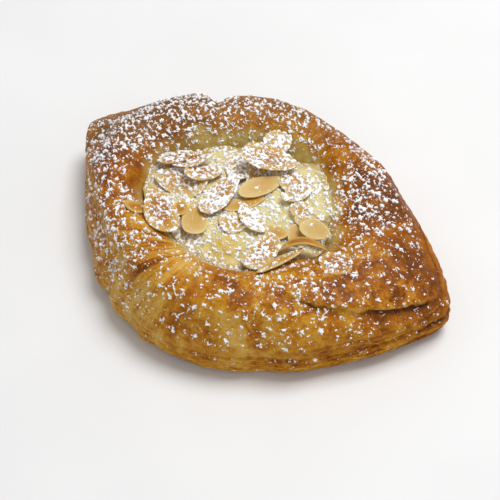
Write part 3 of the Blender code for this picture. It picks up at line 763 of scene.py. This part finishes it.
def paintCrust(mesh, points, rim, detail):
    x, y, z, across, outer, wall = rim.x, rim.y, rim.z, rim.across, rim.outer, rim.wall
    facing = getNormals(mesh)[:, 2]
    top = smooth(facing, 0.1, 0.8)
    # the wall of the hollow is pale and moist
    paleFrom = mix(0.82, 0.79, smooth(y - np.maximum(x, 0), 0, 22)) + 0.09 * lumps(points, 7.0, 24)
    paler = mix(0.2, -0.05, smooth(-x, 10, 40)) * smooth(across, paleFrom - 0.1, paleFrom + 0.1)
    moist = smooth(across, paleFrom, paleFrom + 0.16) * (0.6 + 0.4 * smooth(y, -20, 20))
    moist = np.maximum(moist, 0.1 * smooth(y - 0.3 * x, 4, 26) * top * (1 - smooth(x, 0, 30)))
    moist = moist * addSpots(1.0, points, crust["dryWall"])
    # more sugar fell on the back than on the front, and little stays on the sides
    sugar = mix(0.36, 0.58, smooth(y - 0.35 * x, -25, 14))
    sugar = addSpots(sugar, points, crust["drifts"])
    sugar = sugar - 0.6 * (1 - smooth(rim.inset, 4.5, 9.5)) * smooth(y, 0, 20)
    sugar = np.clip(sugar, 0.0, 1.0) * smooth(facing, 0.0, 0.6) * (1 - 0.3 * smooth(across, 0.68, 0.85))
    # the layers of dough show low on the side, and higher up towards both points
    pointed = np.maximum(smooth(x, 20, 60), 0.7 * smooth(-x, 30, 60))
    low = 1 - smooth(z, mix(5.0, 10.0, pointed), mix(9.0, 16.0, pointed))
    paint(mesh, "bakeAndShade", bakeAndShadeAt(points, rim, top, detail) - paler)
    paint(mesh, "moist", np.clip(moist, 0, 1))
    # painted shade towards the foot of the wall, where it meets the paste
    paint(mesh, "wallFootShade", smooth(across, 0.84, 0.96))
    paint(mesh, "side", outer * (0.25 + 0.75 * low))
    paint(mesh, "fibrous", rim.fibrous * (1 - 0.8 * wall))
    paint(mesh, "cells", smooth(x, 12, 32) * (1 - smooth(y, 0, 14)) * (1 - outer) * (1 - wall))
    # painted shadow down in the crack
    paint(mesh, "crackShadow", np.clip(0.85 * rim.crack, 0, 1))
    paint(mesh, "stretch", rim.stretch * mm)
    paint(mesh, "layers", rim.layers * mm)
    paint(mesh, "sugar", sugar)


def shapeCrust():
    mesh, points, rim = layCrust()
    detail = skinRelief(points, rim) + sheetRelief(points, rim) + flapRelief(points, rim)
    detail *= smooth(rim.z, 1.0, 3.0) * (1 - smooth(rim.across, 0.96, 1.04))
    points = points + getNormals(mesh) * detail[:, None]
    setPlaces(mesh, points)
    paintCrust(mesh, points, rim, detail)
    return mesh


paste = dict(
    edge=18.6, crown=2.2, gap=0.6, around=320, rings=120, wallSpans=(1, 3, 3, 3, 4, 4, 4, 4, 3, 2, 2),
    # x, y, spread, rise
    heaps=((2, -15, 6.5, 2.2), (-8, -12, 7.0, 1.4), (-9, 16, 8.0, 1.2), (-3, 22, 6.0, 3.6),
           (16, -11, 6.0, 3.2), (-23, -14, 6.0, 3.6), (24, -10, 6.0, 3.4)),
    slab=3.6,                          # smeared up the right wall
    backDrop=1.5, climb=1.3, lump=0.7, grain=0.1,
    looseAt=218, looseSpread=18,       # degrees where it has come away from the wall
    butter=((2, -17, 5.0, 1.0),),      # a yellow lump: x, y, spread, amount
    sugar=0.9,
    # where more or less sugar fell: x, y, spread, amount
    drifts=((9, 1, 4.0, -0.3), (3, -17, 6.5, -0.32), (8, 28, 6.0, -0.45), (-30, 13, 6.0, -0.3),
            (2, 7, 4.0, -0.25), (23, -9, 6.0, -0.5), (-10, -17, 8.0, 0.3)),
)


def pasteTop(x, y):
    p = pastry
    across, up = (x - p["wellCentre"][0]) / p["wellHalfLength"], (y - p["wellCentre"][1]) / p["wellHalfWidth"]
    reach = np.hypot(across, up)
    flat = np.stack([x, y, 0 * x], 1)
    height = paste["edge"] + paste["crown"] * (1 - smooth(reach, 0.3, 1.0))
    height = addSpots(height, flat, paste["heaps"])
    slab = smooth(np.cos(np.arctan2(up, across) - 0.75), 0.72, 0.95) * smooth(reach, 0.3, 0.8)
    height += paste["slab"] * slab - paste["backDrop"] * smooth(up, 0.5, 0.95) * smooth(12 - x, 0, 14)
    return height + 0.8 * lumps(flat, 8.0, 5) * (1 - smooth(reach, 0.6, 0.95))


def pasteSide(turn):
    # inset and height of the rings up the paste's side, and how far its edge climbs the wall
    around, gap = paste["around"], paste["gap"]
    x, y, inX, inY, _ = rib(turn)
    track = curveThrough(section(turn), paste["wallSpans"])
    wall = track[sum(paste["wallSpans"][:6]):]
    # it touches the pastry nearly all round, and leaves a dark gap only here and there
    ringRound = np.stack([x, y, 0 * x], 1)
    loose = bump(roundDistance(360.0 * turn, paste["looseAt"]), paste["looseSpread"])
    slack = 0.25 + 0.55 * lumps(ringRound, 9.0, 31) + 1.7 * loose

    def wallInset(z):
        return np.array([np.interp(-z[c], -wall[:, 1, c], wall[:, 0, c]) for c in range(around)])

    edgeZ = np.full(around, paste["edge"])
    for _ in range(3):
        inset = wallInset(edgeZ) + gap * slack
        edgeZ = pasteTop(x + inX * inset, y + inY * inset)
    climb = paste["climb"] * (0.3 + lumps(ringRound, 7.0, 32) + 0.5 * lumps(ringRound, 3.0, 33))
    lowZ = np.full(around, pastry["wellFloor"] + 1.6)
    stages = ((lowZ, 0 * climb, 0.8), (mix(lowZ, edgeZ, 0.45), 0 * climb, 0.3),
              (mix(lowZ, edgeZ, 0.8), 0.5 * climb, 0.2), (edgeZ, climb, 0.0), (edgeZ + 0.3, climb, 1.2))
    return [(wallInset(z + rise) + gap * (slack + slant), z + rise) for z, rise, slant in stages], climb


def shapePaste():
    around, rings = paste["around"], paste["rings"]
    wellX, wellY = pastry["wellCentre"]
    ball, column, ring = ballGrid(around, rings)
    mesh = meshFrom(ball, "almondPaste")
    turn = np.arange(around) / around
    side, climb = pasteSide(turn)
    under = 2  # rings below the side's rings
    last = len(side) - 1
    widest = under + last
    inset, z = np.array(side)[np.clip(ring - under, 0, last), :, column].T
    inwards = np.maximum(1 - ring / under, 0) + np.maximum((ring - widest) / (rings - widest), 0)
    x, y, inX, inY, _ = (part[column] for part in rib(turn))
    points = ribPlaces(x, y, inX, inY, inset, inwards, z)
    top = ring > widest - 1
    flat = points[top, :2]
    inner = (ring[top] - widest) / (rings - widest)
    fromEdge = inner * np.hypot(flat[:, 0] - wellX, flat[:, 1] - wellY) / (1.02 - inner)
    points[top, 2] = pasteTop(flat[:, 0], flat[:, 1]) + climb[column[top]] * bump(fromEdge, 3.0)
    curds = paste["lump"] * (lumps(points[top], 4.6, 21) + 0.5 * lumps(points[top], 2.4, 22))
    points[top, 2] += (curds + paste["grain"] * lumps(points[top], 1.0, 25)) * smooth(fromEdge, 0.2, 1.5)
    setPlaces(mesh, points)

    edge = np.zeros(len(points))
    edge[top] = bump(fromEdge, 2.6)
    sugar = addSpots(paste["sugar"] + 0.15 * lumps(points, 9.0, 23), points, paste["drifts"])
    paint(mesh, "edge", edge)
    paint(mesh, "butter", addSpots(0.0, points, paste["butter"]))
    paint(mesh, "sugar", np.clip(sugar, 0, 1.2) * top)
    return mesh


flakeCommon = dict(
    thickness=0.78, taper=0.18, point=0.25, rimShare=0.22, around=60, rings=30,
    press=0.55,            # how far a flake sinks into what it lies on
    leanClearance=0.9,     # height over the other piece at which it leans against it
    nearest=0.42,          # the least gap to the other piece, for which it is lifted step by step
    liftStep=0.1, mostTilt=12.0,
    skinStep=13,           # one in this many of its points is tested for contact
)


def almond(x, y, heading, length, width, toast, sugar, **more):
    # its middle, where its narrow end points, its size, and its toast and sugar from 0 to 1
    return dict(at=(x, y), heading=heading, length=length, width=width, toast=toast, sugar=sugar, **more)


flakesOnPaste = dict(
    b=almond(-25.4, -1.1, 192, 19.0, 11.5, 0.6, 0.72),
    e=almond(-20.3, 4.2, 44, 12.8, 8.0, 0.8, 0.75),
    d=almond(-26.2, 6.6, 228, 13.4, 8.5, 0.85, 0.8, roll=8),
    c=almond(-31.8, 5.2, 40, 12.4, 8.0, 1.1, 0.8, roll=-12),
    g=almond(-12.2, -12.2, 122, 16.0, 8.4, 0.45, 0.0, bend=0.3),
    h=almond(-18.4, -11.6, 112, 8.0, 4.6, 0.8, 0.0),
    a=almond(-20.8, -18.8, 142, 20.6, 10.6, 0.9, 0.64, mostTilt=8),
    k=almond(-12.6, 13.4, 132, 15.0, 8.6, 0.6, 0.9),
    l=almond(-4.8, 12.4, -50, 10.5, 6.6, 0.6, 0.7),
    mLow=almond(-1.9, 2.3, 60, 16.0, 5.4, 0.62, 0.1, snap=0.8),
    m=almond(-1.0, 10.0, 56, 16.0, 7.0, 0.45, 0.02, snap=0.86),
    f=almond(-10.3, -0.5, 91, 19.6, 9.8, 0.75, 0.9),
    n=almond(6.4, 17.0, 170, 16.0, 9.0, 0.65, 0.8),
    jBack=almond(-5.4, 26.8, 66, 11.6, 8.2, 0.6, 0.85, mostTilt=30),
    j=almond(-3.5, 18.7, 23, 18.6, 10.8, 0.8, 0.8),
    o=almond(10.6, 12.8, 231, 10.0, 6.0, 0.55, 0.85),
    x=almond(16.0, 8.6, 2, 9.0, 6.2, 0.6, 0.75),
    u=almond(12.8, -3.0, 170, 8.8, 6.4, 0.55, 0.1),
    v=almond(18.8, -0.4, -69, 8.4, 5.6, 0.45, 0.05),
    w=almond(19.0, 5.0, 187, 8.0, 5.4, 0.4, 0.3),
    wRight=almond(24.0, 3.0, 6, 10.4, 7.0, 0.4, 0.15),
    q=almond(-0.3, -7.6, 41, 10.0, 7.4, 0.65, 0.8),
    p=almond(3.4, -3.0, 152, 13.8, 7.0, 0.6, 0.95),
    r=almond(14.4, -13.2, 93, 16.5, 10.2, 0.75, 0.7),
    s=almond(22.4, -14.4, 66, 18.0, 5.0, 0.65, 0.35, bend=0.2, roll=-30, mostTilt=1),
    t=almond(24.0, -5.4, 29, 15.4, 5.4, 0.88, 0.0, bend=-3.2, roll=-16, pitch=-6),
)
flakesOnPastry = dict(
    i=almond(-28.2, -21.8, 60, 9.0, 6.0, 0.85, 0.1, snap=0.55, mostTilt=30),
    y=almond(37.6, -6.4, 31, 11.4, 9.5, 1.1, 0.5, snap=0.74, cup=0.1, bend=0.2),
)


def shapeFlake(flake, seed):
    # a slice of almond flat at the origin: a rounded rim round two faces, narrower at one end
    c = flakeCommon
    ball, column, ring = ballGrid(c["around"], c["rings"])
    phases = np.random.default_rng(seed).uniform(0, 2 * pi, 3)
    angle = 2 * pi * column / c["around"]
    wobble = 1 + sum(0.022 * np.sin((n + 2) * angle + p) for n, p in enumerate(phases))
    share = 2 * ring / c["rings"] - 1  # -1 under the middle, 0 at the rim, 1 on top
    onRim = np.abs(share) < c["rimShare"]
    onFace = np.clip((1 - np.abs(share)) / (1 - c["rimShare"]), 0, 1)
    thickness, length, width = c["thickness"], flake["length"], flake["width"]
    edge = 1 - 0.8 * thickness / width
    bow = np.sin(np.clip(share / c["rimShare"], -1, 1) * pi / 2)
    reach = np.where(onRim, edge + (1 - edge) * np.sqrt(np.maximum(1 - bow ** 2, 0)), edge * onFace ** 0.8)
    x = np.minimum(np.cos(angle) * wobble, flake.get("snap", 1.0)) * reach * length / 2
    pointed = (1 - c["taper"] * np.cos(angle)) * (1 - c["point"] * np.maximum(np.cos(angle), 0) ** 3)
    y = np.sin(angle) * pointed * wobble * reach * width / 2
    z = 0.5 * thickness * bow * (1 - 0.22 * reach ** 4)
    flat = np.stack([x, y, 0 * z], 1)
    x = x + 0.1 * reach * lumps(flat, 1.3, seed)
    y = y + 0.1 * reach * lumps(flat, 1.3, seed + 40)
    z = z + 0.08 * lumps(flat, 2.6, seed + 80)
    z += flake.get("bend", 0.8) * (2 * x / length) ** 2 + flake.get("cup", 0.3) * (2 * y / width) ** 2
    return ball, np.stack([x, y, z], 1), np.where(onRim, 1.0, smooth(reach, 0.86, 1.0))


def heightAt(tree, x, y):
    hit = tree.ray_cast(Vector((x, y, 60.0)), Vector((0, 0, -1)))[0]
    return hit.z if hit else -1.0


def restingNormal(points):
    # of all triples round the middle, the one that carries a flat plate highest
    highest, best = -1e9, None
    for a, b, c in itertools.combinations(points, 3):
        area = (b[0] - a[0]) * (c[1] - a[1]) - (b[1] - a[1]) * (c[0] - a[0])
        if abs(area) < 1.0:
            continue
        u = (b[0] * c[1] - b[1] * c[0]) / area
        v = (c[0] * a[1] - c[1] * a[0]) / area
        w = 1.0 - u - v
        if min(u, v, w) < 0:
            continue
        z = u * a[2] + v * b[2] + w * c[2]
        if z > highest:
            normal = (Vector(b) - Vector(a)).cross(Vector(c) - Vector(a)).normalized()
            highest, best = z, normal if normal.z > 0 else -normal
    return best


def settle(flake, skin, baseTrees, clearTrees):
    # a flake sinks a little into what it lies on, leans with it and keeps clear of the other piece
    common = flakeCommon
    x0, y0 = flake["at"]
    heading = Matrix.Rotation(radians(flake["heading"]), 4, "Z")

    def liesOn(x, y):
        return max(heightAt(tree, x, y) for tree in baseTrees) - common["press"]

    def ground(x, y):
        return max(liesOn(x, y), max(heightAt(tree, x, y) for tree in clearTrees) + common["leanClearance"])

    samples = []
    for reach in (0.45, 0.95):
        for step in range(10):
            angle = 2 * pi * step / 10
            offset = heading @ Vector((cos(angle) * reach * flake["length"] / 2,
                                       sin(angle) * reach * flake["width"] / 2, 0))
            samples.append((offset.x, offset.y, ground(x0 + offset.x, y0 + offset.y)))
    normal = restingNormal(samples)
    most = radians(flake.get("mostTilt", common["mostTilt"]))
    if normal.z < cos(most):
        normal = Vector((normal.x, normal.y, 0)).normalized() * sin(most)
        normal.z = cos(most)
    tilt = Vector((0, 0, 1)).rotation_difference(normal).to_matrix().to_4x4()
    lean = Matrix.Rotation(radians(flake.get("roll", 0)), 4, "X")
    lean = Matrix.Rotation(radians(flake.get("pitch", 0)), 4, "Y") @ lean
    pose = tilt @ heading @ lean
    spots = [pose @ Vector(point) + Vector((x0, y0, 0)) for point in skin]
    z = max(liesOn(spot.x, spot.y) - spot.z for spot in spots)
    up = Vector((0, 0, 1))
    while min(tree.find_nearest(spot + up * z)[3]
              for spot in spots for tree in clearTrees) < common["nearest"]:
        z += common["liftStep"]
    return Matrix.Translation((x0, y0, z)) @ pose


def treeOf(mesh):
    places = [Vector(p) for p in getPlaces(mesh)]
    return BVHTree.FromPolygons(places, [tuple(p.vertices) for p in mesh.polygons])


def shapeFlakes(name, flakes, baseTree, clearTrees, firstSeed):
    # every flake where it settles, in the order in which they fell, as one mesh
    baseTrees = [baseTree]
    together = bmesh.new()
    for number, flake in enumerate(flakes.values()):
        ball, points, rim = shapeFlake(flake, firstSeed + number)
        pose = settle(flake, points[::flakeCommon["skinStep"]], baseTrees, clearTrees)
        places = [pose @ Vector(p) for p in points]
        for vertex, place in zip(ball.verts, places):
            vertex.co = place
        baseTrees.append(BVHTree.FromBMesh(ball))
        mesh = meshFrom(ball, "flake")
        setPlaces(mesh, [tuple(place) for place in places])
        up = smooth(getNormals(mesh)[:, 2], 0.2, 0.6)
        # the middle of a toasted slice is darker than the band inside its rim
        fromMiddle = np.hypot(2 * points[:, 0] / flake["length"], 2 * points[:, 1] / flake["width"])
        paint(mesh, "toast", flake["toast"] * (0.66 + 0.48 * (1 - smooth(fromMiddle, 0.3, 0.95))))
        paint(mesh, "rim", 0.75 * rim)
        paint(mesh, "sugar", 1.25 * flake["sugar"] * up)
        paint(mesh, "grain", (points * np.array([0.25, 1.6, 1.0]) + number * 13.0) * mm)
        together.from_mesh(mesh)
        bpy.data.meshes.remove(mesh)
    return meshFrom(together, name)


# how far the patches rise, dome and sink at their edges, and the single grains between them
sugarGrains = dict(rise=0.34, dome=0.12, sink=0.12, rough=0.18, roughSize=0.55,
                   speckFrom=0.28, speckDensity=0.6, speckRadius=0.17, speckSizes=(0.4, 1.5))


def sugarTree(name):
    tree = bpy.data.node_groups.new(name, "GeometryNodeTree")
    for way in ("INPUT", "OUTPUT"):
        tree.interface.new_socket("Geometry", in_out=way, socket_type="NodeSocketGeometry")
    given = addNode(tree, "NodeGroupInput").outputs[0]
    place = addNode(tree, "GeometryNodeInputPosition").outputs[0]
    amount = addNode(tree, "GeometryNodeInputNamedAttribute", {"Name": "sugar"}, data_type="FLOAT").outputs[0]
    return tree, given, place, amount


def sugarPatches():
    # a layer of sugar over the surface, cut to its islands: each edge dips under the surface
    grains = sugarGrains
    tree, given, place, amount = sugarTree("sugarPatches")
    over = sugarOver(tree, place, amount)
    near = addNode(tree, "GeometryNodeDeleteGeometry",
                   {"Geometry": given, "Selection": maths(tree, "LESS_THAN", over, -0.06)}, domain="FACE")
    fine = addNode(tree, "GeometryNodeSubdivideMesh", {"Mesh": near.outputs[0], "Level": 1})
    kept = addNode(tree, "GeometryNodeDeleteGeometry",
                   {"Geometry": fine.outputs[0], "Selection": maths(tree, "LESS_THAN", over, -0.025)},
                   domain="POINT")
    rise = gradeOf(tree, over, -0.02, 0.05, -grains["sink"] * mm, grains["rise"] * mm,
                   interpolation_type="SMOOTHSTEP")
    dome = gradeOf(tree, over, 0.05, 0.3, 0.0, grains["dome"] * mm)
    ragged = swing(tree, noiseOf(tree, place, grains["roughSize"], 1.0), 2 * grains["rough"] * mm)
    normal = addNode(tree, "GeometryNodeInputNormal").outputs[0]
    offset = vectors(tree, "SCALE", {0: normal, "Scale": add(tree, rise, dome, ragged)})
    moved = addNode(tree, "GeometryNodeSetPosition", {"Geometry": kept.outputs[0], "Offset": offset})
    addNode(tree, "NodeGroupOutput", {0: moved.outputs[0]})
    return tree


def sugarSpecks():
    # single grains between the islands
    grains = sugarGrains
    tree, given, _, amount = sugarTree("sugarSpecks")
    more = maths(tree, "MAXIMUM", minus(tree, amount, grains["speckFrom"]), 0.0)
    density = times(tree, maths(tree, "POWER", more, 1.5), grains["speckDensity"] / mm ** 2)
    spread = addNode(tree, "GeometryNodeDistributePointsOnFaces",
                     {"Mesh": given, "Seed": 8, "Density": density})
    grain = addNode(tree, "GeometryNodeMeshIcoSphere",
                    {"Radius": grains["speckRadius"] * mm, "Subdivisions": 1})
    least, most = grains["speckSizes"]
    size = addNode(tree, "FunctionNodeRandomValue", {2: least, 3: most, "Seed": 9}, data_type="FLOAT")
    turn = addNode(tree, "FunctionNodeRandomValue", {1: (2 * pi, 2 * pi, 2 * pi), "Seed": 10},
                   data_type="FLOAT_VECTOR")
    placed = addNode(tree, "GeometryNodeInstanceOnPoints",
                     {"Points": spread.outputs["Points"], "Instance": grain.outputs["Mesh"],
                      "Rotation": turn.outputs[0], "Scale": size.outputs[1]})
    real = addNode(tree, "GeometryNodeRealizeInstances", {"Geometry": placed.outputs[0]})
    addNode(tree, "NodeGroupOutput", {0: real.outputs[0]})
    return tree


def sprinkle(name, surface, tree, material):
    piece = bpy.data.objects.new(name, surface.data)
    bpy.context.collection.objects.link(piece)
    piece.modifiers.new("sugar", "NODES").node_group = tree
    mesh = bpy.data.meshes.new_from_object(piece.evaluated_get(bpy.context.evaluated_depsgraph_get()))
    bpy.data.objects.remove(piece)
    mesh.name = name
    print(name, len(mesh.polygons), "faces")
    return addPiece(name, mesh, material)


film = makeSugarFilm()
crustMaterial = makeCrustMaterial(film)
pasteMaterial = makePasteMaterial(film)
almondMaterial = makeAlmondMaterial(film)
sugarMaterial = makeSugarMaterial()
print("materials made")

crustMesh = shapeCrust()
pasteMesh = shapePaste()
print("crust and paste shaped")
crustTree = treeOf(crustMesh)
pasteTree = treeOf(pasteMesh)
pastryFlakes = shapeFlakes("almondsOnCrust", flakesOnPastry, crustTree, [pasteTree], 60)
pasteFlakes = shapeFlakes("almondsOnPaste", flakesOnPaste, pasteTree, [crustTree, treeOf(pastryFlakes)], 10)
print("almonds laid")

crustPlaces = getPlaces(crustMesh)
ownMiddle = (crustPlaces.min(0) + crustPlaces.max(0)) / 2
cadMiddle = np.array((cadLow + cadHigh) / 2) / mm
shift = Matrix.Translation((*((cadMiddle - ownMiddle)[:2] * mm), 0.0))
for mesh in (crustMesh, pasteMesh, pastryFlakes, pasteFlakes):
    mesh.transform(shift)

crustPiece = addPiece("pastryCrust", crustMesh, crustMaterial)
pastePiece = addPiece("almondPaste", pasteMesh, pasteMaterial)
crustAlmonds = addPiece("almondsOnCrust", pastryFlakes, almondMaterial)
pasteAlmonds = addPiece("almondsOnPaste", pasteFlakes, almondMaterial)
bpy.context.view_layer.update()

patches = sugarPatches()
specks = sugarSpecks()
sugarPieces = []
for surface, label, node in (
        (crustPiece, "sugarOnCrust", "pastry_shell"),
        (pastePiece, "sugarOnPaste", "almond_filling"),
        (pasteAlmonds, "sugarOnAlmonds", "almond_filling"),
        (crustAlmonds, "sugarOnCrustAlmonds", "pastry_shell")):
    for kind, tree in (("Patches", patches), ("Specks", specks)):
        sugarPieces.append((sprinkle(label + kind, surface, tree, sugarMaterial), node))

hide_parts("pastry_shell")
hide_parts("pastry_shell")
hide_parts("almond_filling")
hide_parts("almond_filling")
for piece, node in sugarPieces:
    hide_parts(node)
for piece in [crustPiece, pastePiece, crustAlmonds, pasteAlmonds] + [piece for piece, _ in sugarPieces]:
    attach(piece, "root")
print("pieces ride on the frame")


studio = dict(
    floorSize=3000.0, keySize=520.0, keyPower=7.6, keyFrom=(120, 300, 950), fillPower=0.8,
    fillFrom=(700, -500, 500), fillSize=900.0, skyStrength=0.46,
    azimuth=33.2, elevation=52.0, distance=392.0, aim=(0.41, 0.77, 0.0), focalPixels=1156.4, pixels=500,
)


def addFloor():
    ground = bmesh.new()
    bmesh.ops.create_grid(ground, x_segments=4, y_segments=4, size=studio["floorSize"] * mm / 2)
    floor = addPiece("floor", meshFrom(ground, "floor"), makeFloorMaterial())


def addSoftbox(name, start, size, power):
    lamp = bpy.data.lights.new(name, "AREA")
    lamp.shape = "DISK"
    lamp.size = size * mm
    lamp.energy = power
    box = bpy.data.objects.new(name, lamp)
    bpy.context.collection.objects.link(box)
    box.location = Vector(start) * mm
    box.rotation_mode = "QUATERNION"
    box.rotation_quaternion = (-box.location).to_track_quat("-Z", "Y")


def addSky():
    world = bpy.data.worlds.new("studio")
    bpy.context.scene.world = world
    world.use_nodes = True
    background = world.node_tree.nodes["Background"]
    background.inputs["Color"].default_value = (1.0, 1.0, 1.0, 1.0)
    background.inputs["Strength"].default_value = studio["skyStrength"]


def addCamera():
    lens = bpy.data.cameras.new("camera")
    camera = bpy.data.objects.new("camera", lens)
    bpy.context.collection.objects.link(camera)
    turn, lift = radians(studio["azimuth"]), radians(studio["elevation"])
    back = Vector((sin(turn) * cos(lift), -cos(turn) * cos(lift), sin(lift)))
    camera.location = (Vector(studio["aim"]) + back * studio["distance"]) * mm
    camera.rotation_mode = "QUATERNION"
    camera.rotation_quaternion = (-back).to_track_quat("-Z", "Y")
    lens.sensor_width = 36.0
    lens.lens = studio["focalPixels"] * lens.sensor_width / studio["pixels"]
    lens.clip_start, lens.clip_end = 0.01, 10.0
    bpy.context.scene.camera = camera


addFloor()
addSoftbox("key", studio["keyFrom"], studio["keySize"], studio["keyPower"])
addSoftbox("fill", studio["fillFrom"], studio["fillSize"], studio["fillPower"])
addSky()
addCamera()
bpy.context.scene.view_settings.view_transform = "Standard"
print("studio set")
